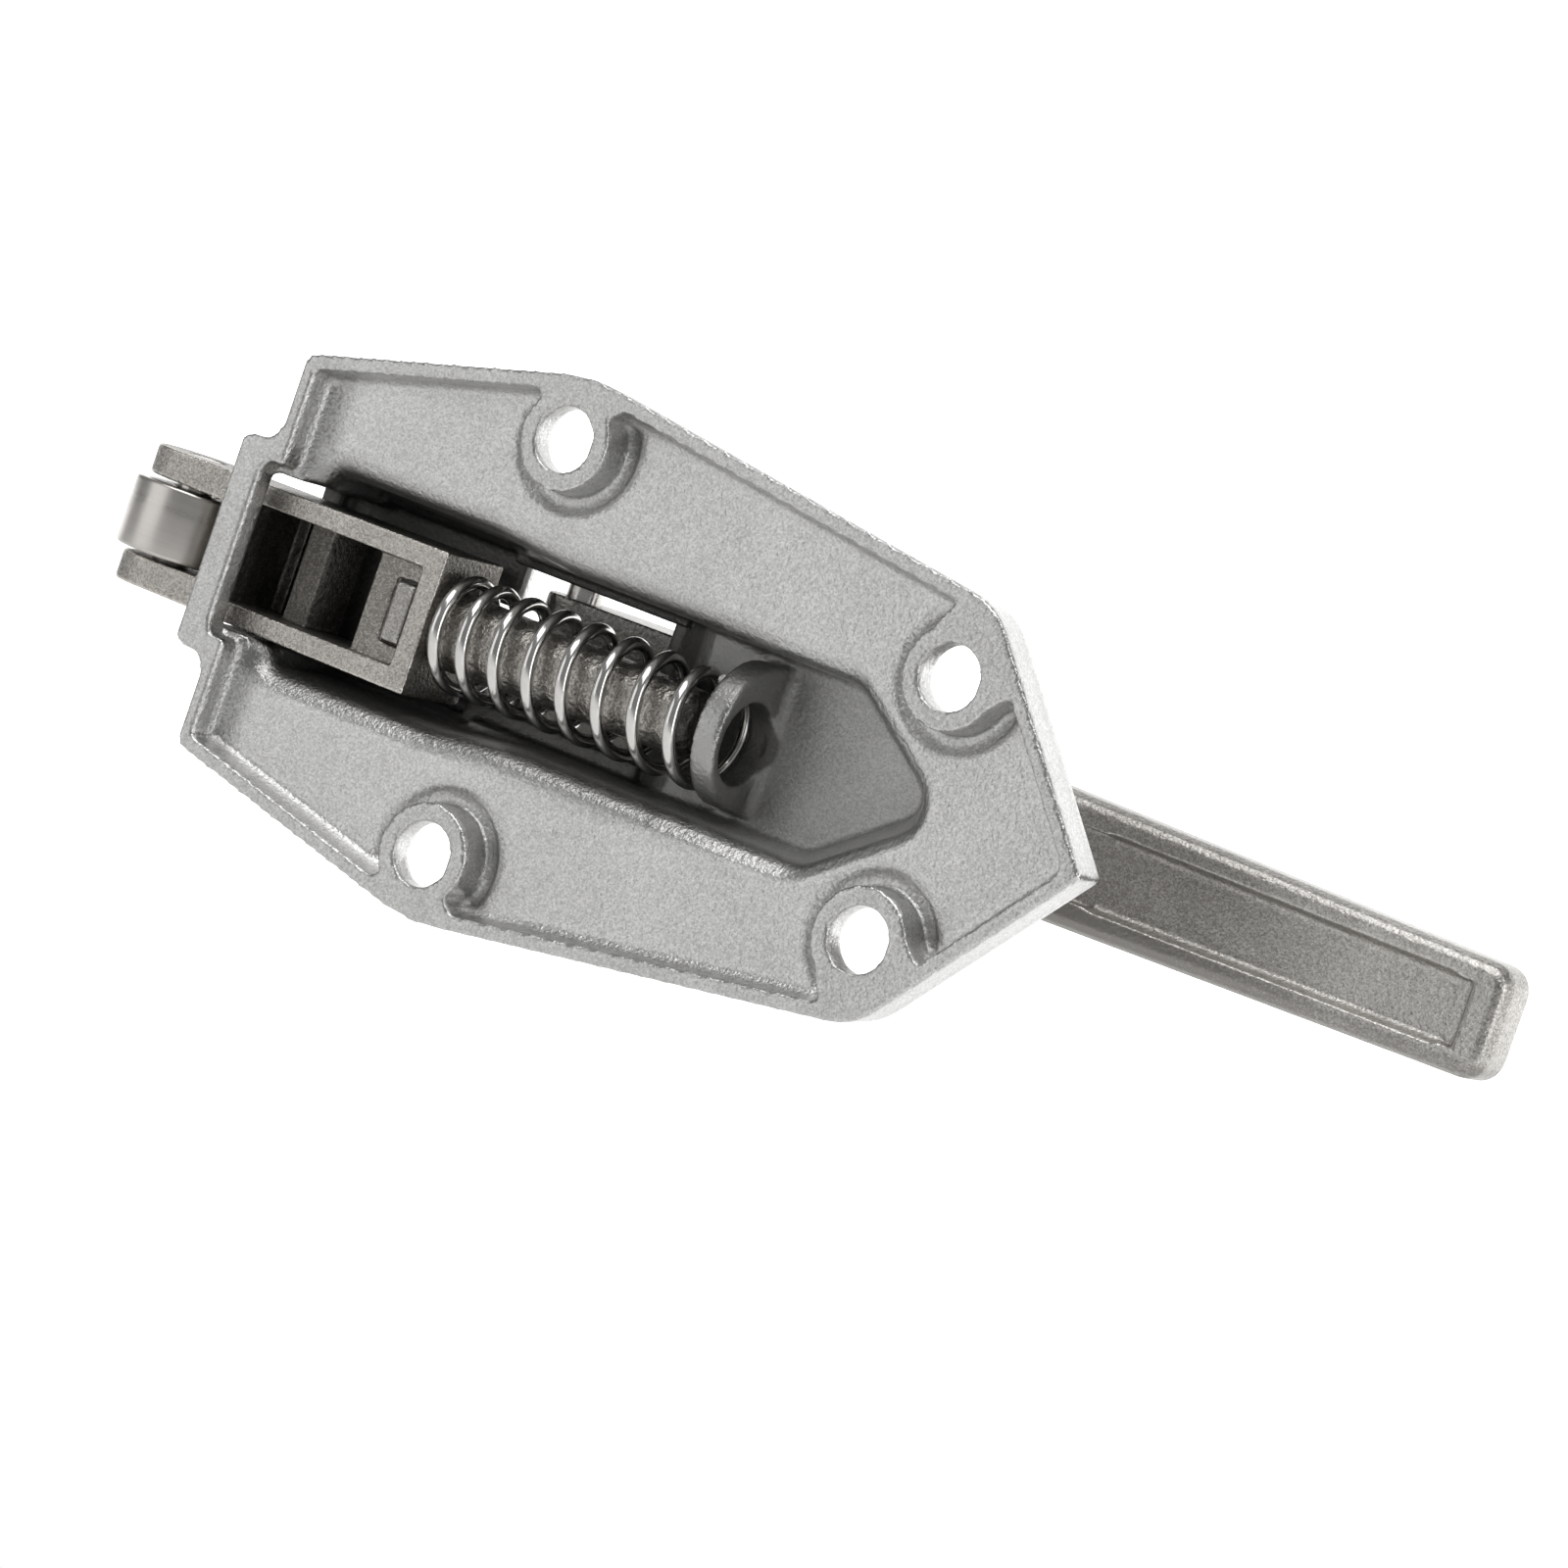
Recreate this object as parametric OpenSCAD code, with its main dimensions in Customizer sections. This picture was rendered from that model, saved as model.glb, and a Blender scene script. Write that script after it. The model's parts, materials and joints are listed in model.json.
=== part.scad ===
// Fridge latch with a pull handle, seen as it is built: a cast housing, a handle that turns on a
// cross pin, a spring-loaded bolt with a roller in its nose, and the spring round the bolt's stem.
// X runs along the bolt, with the roller at -X and the grip at +X. Y runs from the mounting face,
// y = 0, out to the front. Z runs across. The origin is midway between the two screw holes that
// lie nearer the roller, on the mounting face.

/* [Housing plan] */
// Width of the housing across its widest point
plate_w = 58.4; // [54:0.2:66]
// Distance from the first pair of screw holes to the point of the housing
tip_x = 72.9; // [70:0.1:80]
// Distance from the first pair of screw holes to the housing's straight end
end_x = 34.1; // [32:0.1:36]
// Width of the housing at its straight end
end_w = 43.4; // [38:0.2:50]
// Where the long edges turn in toward the point
shoulder_x = 54.5; // [50:0.1:58]
// Width of the housing at that shoulder
shoulder_w = 44; // [40:0.2:50]
// How far the nose that guides the bolt stands out past the straight end
nose_l = 4.4; // [3:0.1:6]
// Width of the nose
nose_w = 23.6; // [22.4:0.1:26]
// Width of the rim that meets the door
rim_w = 1.7; // [1.2:0.1:2.4]
// Draft of the outer side walls over their height
side_draft = 0.5; // [0.2:0.1:1]

/* [Housing depth] */
// Height of the upright outer side wall
side_h = 5.5; // [4.5:0.1:7]
// Depth from the mounting face to the flat front of the flange
flange_h = 7; // [6.6:0.1:9]
// Depth of the shelf inside the rim
shelf_y = 3.2; // [2.4:0.1:3.6]
// Depth of the channel floor at the pointed end
floor_y = 14; // [13:0.1:15.5]
// Depth of the channel floor round the bolt
bolt_floor_y = 17.6; // [17:0.1:19]
// Thickness of the cast wall in front of the channel
wall = 2.2; // [1.6:0.1:3]

/* [Channel] */
// Width of the channel round the bolt and spring
channel_w = 21.6; // [20:0.1:23]
// Width of the channel where its pointed end begins
channel_end_w = 18.8; // [16:0.1:20]
// Where the channel's pointed end begins
channel_end_x = 40; // [36:0.1:44]
// Where the channel's two slanting end walls would meet
channel_tip_x = 53.2; // [48:0.1:58]
// Width of the window that the bolt leaves through
window_w = 17.4; // [17.2:0.1:19]
// Thickness of the bridge across the window, from the mounting face
bridge_t = 3; // [2:0.1:3.4]
// Width of the bridge along the bolt
bridge_w = 3.5; // [2.5:0.1:4.2]

/* [Screw holes] */
// Diameter of the four screw holes
hole_d = 6.8; // [5:0.1:7.2]
// Spacing of the two holes nearer the roller
hole_gap_a = 45; // [42:0.1:47]
// Spacing of the two holes nearer the handle
hole_gap_b = 27.4; // [26:0.1:30]
// Distance between the two pairs of holes
hole_pitch = 52; // [48:0.1:54]
// Outer diameter of the boss round each hole
boss_d = 10.9; // [9:0.1:12]
// Depth of full-width hole before it opens out to the front
hole_land = 2.7; // [2:0.1:3.4]
// Diameter of the sunken ring round each boss
pit_d = 15.8; // [13:0.1:17]
// Depth of that ring below the shelf
pit_deep = 0.9; // [0.4:0.1:1.2]

/* [Handle pivot] */
// Distance of the pivot pin from the first pair of screw holes, toward the roller
pivot_x = 4.9; // [3:0.1:6]
// Depth of the pivot pin from the mounting face
pivot_y = 21; // [20.6:0.1:23]
// Diameter of the pivot pin
pin_d = 4; // [3:0.1:4.2]
// Outer diameter of the bosses that hold the pin
pin_boss_d = 7; // [6:0.1:9]
// Running clearance of the hub on the pin, on the radius
hub_fit = 0.08; // [0.03:0.01:0.15]

/* [Handle] */
// Distance from the pivot pin to the end of the grip
handle_l = 113.4; // [90:0.1:130]
// Width of the handle over the housing
handle_w = 14.2; // [12:0.1:14.6]
// Width of the handle at its end
handle_end_w = 11.8; // [9:0.1:13]
// Depth of the grip's back face from the mounting face
grip_y = 24.6; // [24:0.1:28]
// Thickness of the grip
grip_t = 7.2; // [6:0.1:10]
// Diameter of the hub on the pivot pin
hub_d = 7.6; // [7:0.1:8]
// Depth of the recess in the grip's back
recess_deep = 1.5; // [0.8:0.1:2.5]
// Width of the raised border round the recess
border_w = 2.6; // [1.8:0.1:3.2]
// Where the grip leaves the neck
grip_x = 47; // [40:0.5:56]
// Where the recess in the grip starts
recess_x = 61; // [55:0.5:80]
// From the recess to the grip's end
recess_end = 5; // [3:0.1:12]
// Width of the finger that moves the bolt
finger_w = 6.4; // [5:0.1:8]

/* [Bolt] */
// Width of the bolt
bolt_w = 15.7; // [14:0.1:16.6]
// Depth of the bolt's axis from the mounting face
bolt_y = 10; // [9.8:0.1:10.6]
// Depth of the bolt, front to back
bolt_t = 10.8; // [10:0.1:11.4]
// Thickness of the bolt's two side rails
rail_t = 2.4; // [1.8:0.1:3]
// Distance from the first pair of screw holes to the outer face of the bolt's end wall
bolt_end_x = 12; // [11.6:0.1:13.4]
// Thickness of the end wall that the spring presses on
end_wall_t = 2.5; // [2.1:0.1:2.8]
// Diameter of the stem at the end wall
stem_d = 8.6; // [7:0.1:9]
// Diameter of the stem at its free end
stem_end_d = 7.4; // [6.5:0.1:8.2]
// How far the loosely guided bolt and handle hang below the housing's centre line
sag = 0.7; // [0:0.05:0.9]

/* [Roller] */
// Distance from the first pair of screw holes to the roller's axis
roller_x = 49.3; // [48.5:0.1:52]
// Diameter of the roller
roller_d = 13.2; // [11:0.1:13.3]
// Length of the roller
roller_l = 7.7; // [6:0.1:8]
// Gap between the roller and each cheek
roller_gap = 0.5; // [0.2:0.05:0.8]
// Diameter of the roller pin
roller_pin_d = 4.5; // [3:0.1:5]
// Running clearance of the roller on its pin, on the radius
roller_fit = 0.08; // [0.03:0.01:0.15]

/* [Spring and lug] */
// Outer diameter of the spring
spring_d = 12.8; // [12:0.1:13.4]
// Diameter of the spring wire
wire_d = 1.45; // [1:0.05:1.6]
// Number of turns of the spring
turns = 8.3; // [8:0.1:9]
// Distance from the first pair of screw holes to the lug that holds the spring
lug_x = 23.4; // [22:0.1:26]
// Thickness of the lug
lug_t = 3.1; // [2.4:0.1:4]
// Width of the lug
lug_w = 15.8; // [15:0.1:17]
// Depth of the lug's rounded top from the mounting face
lug_top_y = 4.4; // [3.6:0.1:5]
// Diameter of the hole in the lug that lets the stem through
lug_hole_d = 9.2; // [9.1:0.05:9.6]

/* [Hidden] */
$fn = 48;
// Gap that keeps two separate castings apart where they only pass each other
gap = 0.3;
// How far a cut runs past the face that it opens
over = 0.5;
// Points in each rounded corner of an outline
steps = 5;

// Places along the bolt
nose_x = -end_x - nose_l;
bridge_x = nose_x + bridge_w;
wall_x = -bolt_end_x;
wall_in_x = wall_x - end_wall_t;
hole_x = wall_in_x - 3.5;
lip_x = hole_x - 3;
rib_x = [-32.6, -29.4];
pocket_x = -roller_x + roller_d / 2 + 4.6;
stem_tip_x = lug_x - 2.4;
channel_x = -end_x + 4.8;
slot_x = [-11, 8.8];
slot_w = channel_end_w - 0.6;

// Depths of the bolt
bolt_near = bolt_y - bolt_t / 2;
bolt_far = bolt_y + bolt_t / 2;
web_near = bolt_near + 1.4;
web_far = web_near + 2;
rib_near = bolt_near + 4.4;
frame_w = bolt_w - 2 * rail_t;

// The handle's pivot and the finger's working face, with the handle at rest
pivot = [-pivot_x, pivot_y];
finger_x = wall_in_x - gap;
finger_y = bolt_near + 0.4;
spring_far = bolt_y + spring_d / 2;

// The four screw holes, as places along X and Z
holes = [
    [0, hole_gap_a / 2],
    [0, -hole_gap_a / 2],
    [hole_pitch, hole_gap_b / 2],
    [hole_pitch, -hole_gap_b / 2]
];

function unit(v) = v / norm(v);

// The arc that rounds the corner p between a and b
function corner(a, p, b, r, n) =
    let (u = unit(a - p), v = unit(b - p))
    let (half = acos(u * v) / 2, w = 180 - 2 * half)
    let (c = p + unit(u + v) * r / sin(half))
    let (s = p + u * r / tan(half) - c, e = p + v * r / tan(half) - c)
    [for (i = [0:n]) c + (s * sin(w * (1 - i / n)) + e * sin(w * i / n)) / sin(w)];

function flat(c) = [c[0], c[1]];

// An outline from corners given as [x, z, radius]
function outline(c, n = steps) =
    let (m = len(c))
    [for (i = [0:m - 1])
        each corner(flat(c[(i + m - 1) % m]), flat(c[i]), flat(c[(i + 1) % m]), c[i][2], n)];

// The same corners moved inward by d
function inset(c, d) =
    let (m = len(c))
    [for (i = [0:m - 1])
        let (p = flat(c[i]))
        let (e = unit(p - flat(c[(i + m - 1) % m])), f = unit(flat(c[(i + 1) % m]) - p))
        let (turn = e[0] * f[1] - e[1] * f[0])
        let (move = [-e[1] - f[1], e[0] + f[0]] / (1 + e * f) * d)
        [p[0] + move[0], p[1] + move[1], max(0.15, c[i][2] - (turn > 0 ? d : -d))]];

// One half's corners and their mirror image, with the corners between the halves
function both(half, between = []) = concat(
    [for (c = half) [c[0], -c[1], c[2]]],
    between,
    [for (i = [len(half) - 1:-1:0]) half[i]]
);

// A solid through outlines that each lie at one depth, given as [depth, outline]
module loft(rings) {
    first = rings[0];
    last = rings[len(rings) - 1];
    // Carried on straight at both ends, and cut flat there
    run = concat([[first[0] - over, first[1]]], rings, [[last[0] + over, last[1]]]);
    n = len(first[1]);
    k = len(run);
    intersection() {
        polyhedron(
            points = [for (r = run) for (p = r[1]) [p[0], r[0], p[1]]],
            faces = concat(
                [[for (i = [n - 1:-1:0]) i]],
                [for (j = [0:k - 2]) for (i = [0:n - 1])
                    [j * n + i, j * n + (i + 1) % n, (j + 1) * n + (i + 1) % n]],
                [for (j = [0:k - 2]) for (i = [0:n - 1])
                    [j * n + i, (j + 1) * n + (i + 1) % n, (j + 1) * n + i]],
                [[for (i = [0:n - 1]) (k - 1) * n + i]]
            )
        );
        block(2 * nose_x, 2 * tip_x, first[0], last[0], 2 * plate_w);
    }
}

// A block between two places along X and two depths, centred across
module block(x0, x1, y0, y1, w) {
    translate([x0, y0, -w / 2])
        cube([x1 - x0, y1 - y0, w]);
}

// A side view in X and Y made into a solid, centred across
module across(w) {
    translate([0, 0, -w / 2])
        linear_extrude(w)
            children();
}

// A round solid that stands out from the mounting face
module post(p, y0, y1, r1, r2) {
    translate([p[0], y0, p[1]])
        rotate([-90, 0, 0])
            cylinder(h = y1 - y0, r1 = r1, r2 = r2);
}

// A round solid along the bolt's axis
module rod(x0, x1, r1, r2) {
    translate([x0, bolt_y, -sag])
        rotate([0, 90, 0])
            cylinder(h = x1 - x0, r1 = r1, r2 = r2);
}

// The housing's outer corners
function plate_corners() = both(
    [
        [nose_x, nose_w / 2 - 0.1, 1],
        [-end_x, nose_w / 2 + 0.3, 2],
        [-end_x, end_w / 2, 1.7],
        [0.5, plate_w / 2 + 0.45, 22],
        [shoulder_x, shoulder_w / 2, 8]
    ],
    [[tip_x + 0.3, 0, 0.6]]
);

// The corners of the sunken pocket inside the rim, without the nose
function pocket_corners() =
    let (c = inset(plate_corners(), rim_w), m = len(c))
    [for (i = [2:m - 3])
        [c[i][0], c[i][1], i == 5 ? 1.8 : c[i][2]]];

// The corners of the channel; its pointed end moves in by s
function channel_corners(s) = both(
    [
        [channel_x, channel_w / 2, 1],
        [-8, channel_w / 2 - 0.1, 4],
        [2, channel_end_w / 2 + 0.2, 4],
        [channel_end_x - s, channel_end_w / 2, 4]
    ],
    [[channel_tip_x - s, 0, 3]]
);

// The corners of the raised front over the bolt
function roof_corners() = both([
    [nose_x + 0.2, nose_w / 2 - 0.4, 1.5],
    [channel_x, channel_w / 2 + 1.6, 5],
    [-8, channel_w / 2 + 1.9, 3],
    [3, channel_end_w / 2 + 2.4, 3],
    [lug_x + 4, channel_end_w / 2 + 2.2, 4]
]);

// How far the channel's pointed end slopes in, down to its floor
end_slope = 4.8;
// Radius of the rounded edge from the shelf into the channel
lip_r = 3;

module plate() {
    loft([
        [0, outline(plate_corners())],
        [side_h, outline(inset(plate_corners(), side_draft))],
        [side_h + (flange_h - side_h) * 0.6, outline(inset(plate_corners(), side_draft + 0.5))],
        [flange_h, outline(inset(plate_corners(), side_draft + 1.5))]
    ]);
}

module pocket() {
    loft([
        [-over, outline(inset(pocket_corners(), -0.1))],
        [shelf_y - 1.2, outline(inset(pocket_corners(), 0.2))],
        [shelf_y - 0.4, outline(inset(pocket_corners(), 0.5))],
        [shelf_y, outline(inset(pocket_corners(), 1.1))]
    ]);
    // Its nose, behind the bridge
    block(bridge_x + 0.3, channel_x, -over, shelf_y - 0.6, nose_w - 2 * rim_w - 1);
}

module roof() {
    top = bolt_floor_y + wall;
    loft([
        [shelf_y + 1, outline(roof_corners())],
        [top - 2, outline(inset(roof_corners(), 0.6))],
        [top - 0.6, outline(inset(roof_corners(), 1.1))],
        [top, outline(inset(roof_corners(), 2))]
    ]);
    tail = floor_y + wall;
    loft([
        [shelf_y + 1, outline(inset(channel_corners(0), -wall))],
        [tail - 2, outline(inset(channel_corners(end_slope * 0.8), 0.5 - wall))],
        [tail - 0.6, outline(inset(channel_corners(end_slope * 0.9), 1 - wall))],
        [tail, outline(inset(channel_corners(end_slope), 1.9 - wall))]
    ]);
}

module ears() {
    for (side = [-1, 1])
        translate([0, 0, side * (channel_end_w / 2 + 1.1)])
            across(2.8) {
                translate(pivot)
                    circle(d = pin_d + 5.2);
                polygon([
                    [pivot[0] - 9, shelf_y + 2],
                    [pivot[0] - 9, bolt_floor_y + 1],
                    pivot + [-3.5, 3.4],
                    pivot + [3.3, 3.6],
                    [slot_x[1] + 5, bolt_floor_y + 1],
                    [slot_x[1] + 5, shelf_y + 2]
                ]);
            }
}

// The channel, with its lip rounded into the shelf
module channel() {
    loft(concat(
        [[shelf_y - over, outline(inset(channel_corners(0), -lip_r * 0.8))]],
        [for (a = [68, 45, 22, 0])
            [shelf_y + lip_r * (1 - sin(a)), outline(inset(channel_corners(0), lip_r * (cos(a) - 1)))]],
        [[floor_y, outline(inset(channel_corners(end_slope), 0.5))]]
    ));
    across(slot_w)
        polygon([
            [channel_x, shelf_y + lip_r],
            [lug_x - 6.9, shelf_y + lip_r],
            [lug_x - 6.9, floor_y],
            [lug_x - 13, bolt_floor_y],
            [channel_x, bolt_floor_y]
        ]);
    block(channel_x, -9.4, floor_y - over, bolt_floor_y - 2, channel_w - 1.8);
    rod(lug_x - 14, lug_x, spring_d / 2 + 0.35, spring_d / 2 + 0.35);
}

// The way out for the bolt, under the bridge
module window() {
    block(nose_x - over, bridge_x + over, bridge_t, bolt_far + 0.5, window_w);
    block(bridge_x, channel_x + over, -over, bolt_floor_y, window_w);
}

module pits() {
    intersection() {
        loft([
            [shelf_y - over, outline(inset(pocket_corners(), 1.1))],
            [flange_h, outline(inset(pocket_corners(), 1.4))]
        ]);
        for (p = holes)
            post(p, shelf_y - over, shelf_y + pit_deep, pit_d / 2 + 0.2, pit_d / 2 - 1.2);
    }
}

// The four bosses, each tied to the rim
module bosses() {
    for (p = holes)
        post(p, 0, flange_h - gap, boss_d / 2, boss_d / 2);
    intersection() {
        loft([
            [0, outline(inset(plate_corners(), 0.6))],
            [shelf_y + 1, outline(inset(plate_corners(), 0.8))]
        ]);
        for (side = [-1, 1])
            translate([0, 0, side * (hole_gap_a / 2)]) {
                block_web([[-6.4, 5.2], [-4.3, 3.4], [4.3, 3.4], [6.4, 5.2], [6.4, 9], [-6.4, 9]], side);
                translate([hole_pitch, 0, side * (hole_gap_b - hole_gap_a) / 2])
                    block_web([[-4.6, 2.6], [5.2, -1.8], [7.4, 0.4], [9, 9], [-1, 10], [-2.2, 6.8]], side);
            }
    }
}

module block_web(points, side) {
    rotate([-90, 0, 0])
        linear_extrude(shelf_y + 1)
            polygon([for (p = points) [p[0], -side * p[1]]]);
}

// A screw hole, with the room for the screw's head sunk from the front
module screw_hole(p) {
    head = hole_d / 2 + 2.5;
    translate([p[0], 0, p[1]])
        rotate([-90, 0, 0])
            rotate_extrude()
                polygon([
                    [0, -over],
                    [hole_d / 2, -over],
                    [hole_d / 2, hole_land],
                    [head, flange_h],
                    [head, floor_y + wall + 9],
                    [0, floor_y + wall + 9]
                ]);
}

module lug() {
    difference() {
        union() {
            translate([lug_x, lug_top_y + lug_w / 2, 0])
                rotate([0, 90, 0])
                    cylinder(h = lug_t, d = lug_w);
            block(lug_x, lug_x + lug_t, lug_top_y + lug_w / 2, floor_y + 1, lug_w);
        }
        rod(lug_x - over, lug_x + lug_t + over, lug_hole_d / 2, lug_hole_d / 2);
    }
}

module housing() {
    color("#b9b6ae")
    difference() {
        union() {
            difference() {
                union() {
                    plate();
                    roof();
                    ears();
                }
                pocket();
                channel();
                window();
                pits();
                // The slot that the handle comes out through, with a relief for its finger
                block(slot_x[0], slot_x[1], floor_y - over, pivot_y + 9, slot_w);
                translate([0, 0, -sag])
                    block(hole_x - 2.4, slot_x[0] + over, bolt_floor_y - over, pivot_y + 9, finger_w + 1.4);
            }
            bosses();
            lug();
            for (side = [-1, 1])
                translate([pivot[0], pivot[1], side * (channel_end_w / 2 - 0.3)])
                    cylinder(h = 2, d = pin_boss_d, center = true);
        }
        translate([pivot[0], pivot[1], 0])
            cylinder(h = plate_w, d = pin_d, center = true);
        for (p = holes)
            screw_hole(p);
    }
}

module pivot_pin() {
    color("#c9c9c4")
    translate([pivot[0], pivot[1], 0])
        cylinder(h = channel_end_w + 4.6, d = pin_d, center = true);
}

// The grip, with the recess in its back
module grip() {
    end = handle_l - pivot_x;
    root = grip_x - 3;
    c = both([[root, handle_w / 2, 0.4], [end, handle_end_w / 2, 2.6]]);
    difference() {
        loft([
            [grip_y, outline(inset(c, 1.2))],
            [grip_y + 0.5, outline(inset(c, 0.5))],
            [grip_y + 1.7, outline(c)],
            [grip_y + grip_t - 2, outline(c)],
            [grip_y + grip_t - 0.6, outline(inset(c, 0.7))],
            [grip_y + grip_t, outline(inset(c, 1.9))]
        ]);
        r = both([[recess_x, handle_w / 2 - 0.5 - border_w, 1.2], [end - recess_end, handle_end_w / 2 + 0.3 - border_w, 1.2]]);
        loft([
            [grip_y - over, outline(inset(r, -0.3))],
            [grip_y + recess_deep * 0.7, outline(inset(r, 0.2))],
            [grip_y + recess_deep, outline(inset(r, 0.7))]
        ]);
    }
}

module handle() {
    color("#8f8b83")
    translate([0, 0, -sag])
    difference() {
        union() {
            grip();
            // The neck, from the hub to the grip
            across(handle_w) {
                translate(pivot)
                    circle(d = hub_d);
                polygon([
                    pivot + [1.4, -3.4] * hub_d / 7.6,
                    [slot_x[1] - 0.6, bolt_floor_y + wall + 0.8],
                    [20, bolt_floor_y + wall + 1.6],
                    [grip_x, grip_y + 0.2],
                    [grip_x, grip_y + grip_t - 0.9],
                    [grip_x - 3, grip_y + grip_t],
                    [18, grip_y + grip_t + 0.4],
                    [6, grip_y + grip_t - 1],
                    pivot + [1.6, 7.4],
                    pivot + [-2.6, 2.8] * hub_d / 7.6
                ]);
            }
            // The finger, bent round the bolt's end wall
            across(finger_w)
                polygon([
                    [finger_x, finger_y],
                    [finger_x, web_far - 1.2],
                    [finger_x + 0.8, web_far + 0.7],
                    [finger_x + 0.8, bolt_far - 0.2],
                    [finger_x + 1.3, bolt_far + 0.6],
                    [finger_x + 2.6, spring_far + 0.7],
                    [finger_x + 4.2, spring_far + 1.15],
                    pivot + [-3.4, -2.2] * hub_d / 7.6,
                    pivot + [0, 0],
                    pivot + [-1.5, 3.4] * hub_d / 7.6,
                    pivot + [-6.4, 1.6],
                    [finger_x - 1.6, bolt_floor_y + 0.4],
                    [finger_x - 2.2, bolt_far + 0.2],
                    [finger_x - 0.7, bolt_far - 2.8],
                    [finger_x - 0.7, web_far + 2],
                    [finger_x - 2.8, web_near + 0.2],
                    [finger_x - 2.8, finger_y + 0.5],
                    [finger_x - 2.3, finger_y]
                ]);
        }
        translate([pivot[0], pivot[1], 0])
            cylinder(h = plate_w, r = pin_d / 2 + hub_fit, center = true);
    }
}

module bolt() {
    half_end = bolt_w / 2 - 0.3;
    color("#a5a19a")
    translate([0, 0, -sag])
    difference() {
        union() {
            intersection() {
                across(bolt_w) {
                    translate([-roller_x, bolt_y])
                        circle(d = bolt_t);
                    translate([-roller_x, bolt_near])
                        square([roller_x - bolt_end_x, bolt_t]);
                }
                rotate([-90, 0, 0])
                    linear_extrude(bolt_far + 1)
                        polygon([
                            [-roller_x - bolt_t, -half_end],
                            [wall_x, -bolt_w / 2],
                            [wall_x, bolt_w / 2],
                            [-roller_x - bolt_t, half_end]
                        ]);
            }
            translate([0, 0, sag])
                rod(wall_x - 0.4, stem_tip_x - 1, stem_d / 2, stem_end_d / 2);
            translate([0, 0, sag])
                rod(stem_tip_x - 1, stem_tip_x, stem_end_d / 2, stem_end_d / 2 - 0.8);
        }
        // The fork's slot
        block(-roller_x - bolt_t, -roller_x + roller_d / 2 + 0.8, 0, 2 * bolt_y, roller_l + 2 * roller_gap);
        // The two open pockets and the rib between them
        block(pocket_x, rib_x[0], 0, 2 * bolt_y, frame_w);
        block(rib_x[1], lip_x, 0, 2 * bolt_y, frame_w);
        block(rib_x[0] - 0.1, rib_x[1] + 0.1, 0, rib_near, frame_w);
        // The web round the finger's hole
        block(lip_x - 0.1, wall_in_x, 0, web_near, frame_w);
        block(lip_x - 0.1, wall_in_x, web_far, 2 * bolt_y, frame_w);
        across(finger_w + 2 * gap)
            polygon([
                [hole_x, 0],
                [hole_x, web_near + 0.6],
                [hole_x - 2, web_far + 0.6],
                [wall_in_x + 0.1, web_far + 0.6],
                [wall_in_x, web_near + 1],
                [wall_in_x, 0]
            ]);
        // The relief that lets the finger swing behind the end wall's edge
        across(finger_w + 2 * gap)
            polygon([
                [wall_in_x - 0.1, web_near + 1],
                [wall_in_x, web_near + 1],
                [wall_in_x + 0.9, web_near + 2.4],
                [wall_in_x + 0.9, 2 * bolt_y],
                [wall_in_x - 0.1, 2 * bolt_y]
            ]);
        translate([-roller_x, bolt_y, 0])
            cylinder(h = plate_w, d = roller_pin_d, center = true);
    }
}

module roller() {
    cut = 0.8;
    inner = roller_pin_d / 2 + roller_fit;
    outer = roller_d / 2;
    half = roller_l / 2;
    color("#d2d2ce")
    translate([-roller_x, bolt_y, -sag])
        rotate_extrude($fn = 96)
            polygon([
                [inner, -half],
                [outer - cut, -half],
                [outer, -half + cut],
                [outer, half - cut],
                [outer - cut, half],
                [inner, half]
            ]);
}

module roller_pin() {
    color("#c9c9c4")
    translate([-roller_x, bolt_y, -sag])
        cylinder(h = bolt_w - 0.7, d = roller_pin_d, center = true);
}

// How far the wire's centre has come along the axis after t turns
spring_l = lug_x + bolt_end_x - wire_d - 0.04;
function climb(t) = spring_l * lookup(t / turns, [
    [0, 0],
    [0.06, 0.033],
    [0.18, 0.139],
    [0.3, 0.264],
    [0.54, 0.525],
    [0.78, 0.799],
    [0.904, 0.943],
    [0.96, 0.996],
    [1, 1]
]);

module spring() {
    sides = 8;
    per_turn = 20;
    n = ceil(turns * per_turn);
    mean = (spring_d - wire_d) / 2;
    r = wire_d / 2;
    slope = spring_l / turns / (2 * PI * mean);
    points = [for (i = [0:n]) for (k = [0:sides - 1])
        let (t = i / n * turns, a = 180 - 360 * t, b = 360 * k / sides)
        let (q = mean + r * cos(b))
        [
            climb(t) + r * sin(b) * cos(atan(slope)),
            -q * cos(a) + r * sin(b) * sin(atan(slope)) * sin(a),
            q * sin(a) + r * sin(b) * sin(atan(slope)) * cos(a)
        ]];
    color("#dadad6")
    translate([wall_x + r + 0.02, bolt_y, -sag])
        polyhedron(
            points = points,
            faces = concat(
                [[for (k = [0:sides - 1]) k]],
                [for (i = [0:n - 1]) for (k = [0:sides - 1])
                    [i * sides + k, (i + 1) * sides + k, (i + 1) * sides + (k + 1) % sides]],
                [for (i = [0:n - 1]) for (k = [0:sides - 1])
                    [i * sides + k, (i + 1) * sides + (k + 1) % sides, i * sides + (k + 1) % sides]],
                [[for (k = [sides - 1:-1:0]) n * sides + k]]
            )
        );
}

housing();
pivot_pin();
handle();
bolt();
roller();
roller_pin();
spring();
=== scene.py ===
import json
import math

import bmesh
import bpy
import numpy as np
from bpy.props import FloatProperty, FloatVectorProperty, IntProperty, PointerProperty
from bpy.types import Operator, Panel, PropertyGroup
from mathutils import Matrix, Vector


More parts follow.
